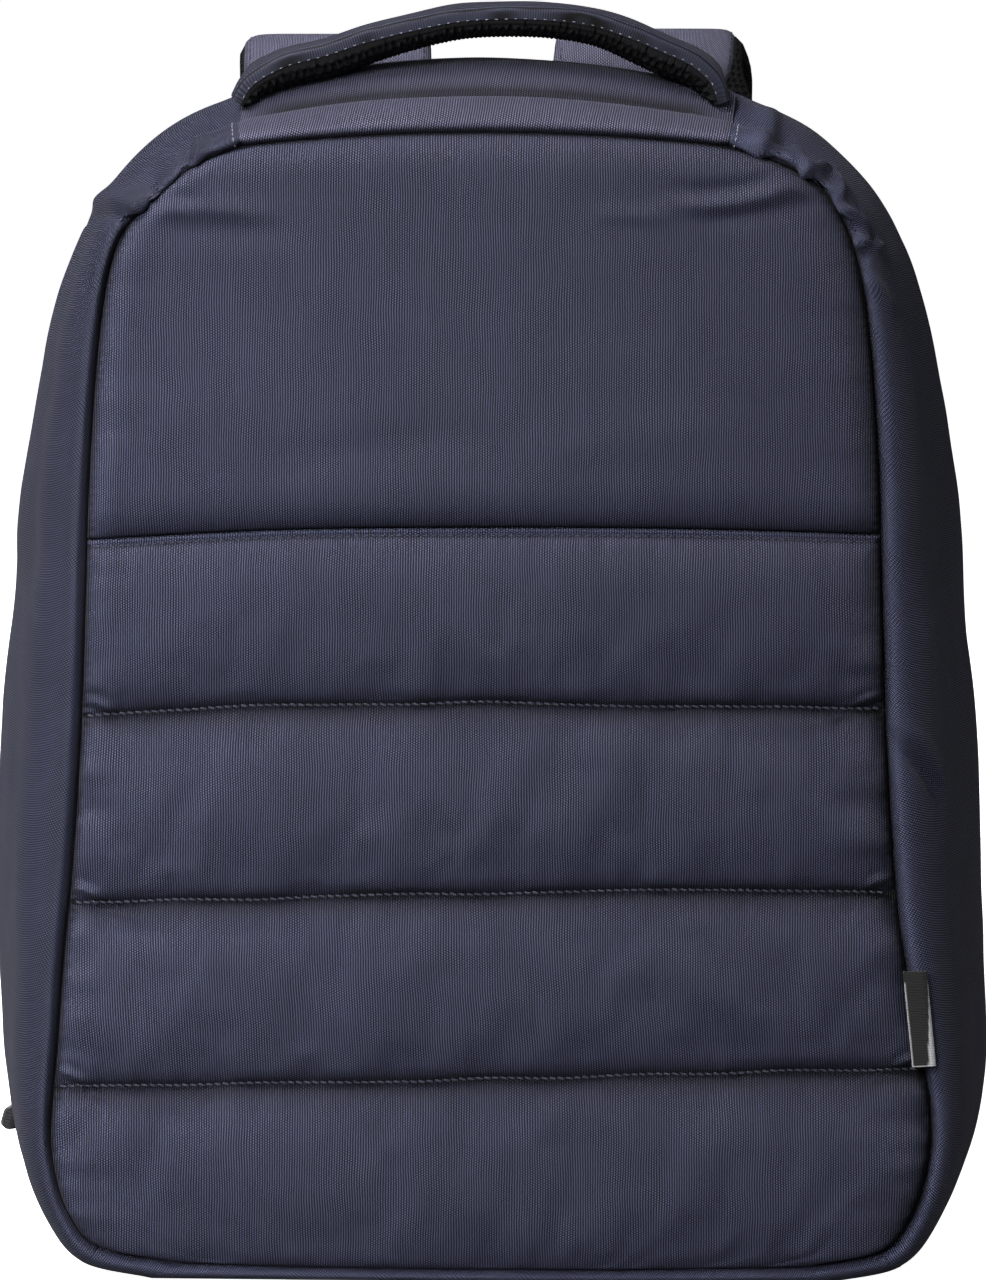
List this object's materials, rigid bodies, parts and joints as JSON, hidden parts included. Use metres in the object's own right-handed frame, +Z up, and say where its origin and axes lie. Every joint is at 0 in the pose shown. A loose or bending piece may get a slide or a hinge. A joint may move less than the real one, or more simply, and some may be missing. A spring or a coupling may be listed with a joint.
{
  "type": "laptop backpack",
  "caption": "Soft laptop backpack with a quilted front pocket, a padded front and back, a carry handle, two padded shoulder straps and a zip round its back edge.",
  "frame": {"origin": "middle of the flat base, on the floor", "axes": "+Z up, the front panel faces -Y and the shoulder straps lie on the +Y side, +X to the right as seen from the front"},
  "size_m": [0.3328, 0.198, 0.4028],
  "materials": {
    "navy_cloth": "fine ribbed polyester",
    "spacer_mesh": "black air mesh",
    "black_webbing": "ribbed webbing",
    "black_plastic": "matte moulded",
    "tag_ribbon": "woven ribbon"
  },
  "bodies": {
    "root": {"front_upper_panel": "navy_cloth", "front_quilted_panel": "navy_cloth", "top_gusset": "navy_cloth", "right_gusset": "navy_cloth", "left_gusset": "navy_cloth", "base_panel": "navy_cloth", "rear_band": "navy_cloth", "zip_strip": "black_webbing", "back_panel": "spacer_mesh", "back_yoke": "navy_cloth", "handle_cover": "navy_cloth", "handle_pad": "spacer_mesh", "seam_tag": "tag_ribbon", "zip_slider_upper": "black_plastic", "zip_slider_lower": "black_plastic", "left_strap_cover": "navy_cloth", "left_strap_pad": "spacer_mesh", "left_lock_loop": "black_webbing", "left_ladder_lock": "black_plastic", "left_strap_anchor": "navy_cloth", "left_lower_webbing": "black_webbing", "right_strap_cover": "navy_cloth", "right_strap_pad": "spacer_mesh", "right_lock_loop": "black_webbing", "right_ladder_lock": "black_plastic", "right_strap_anchor": "navy_cloth", "right_lower_webbing": "black_webbing"}
  },
  "joints": []
}
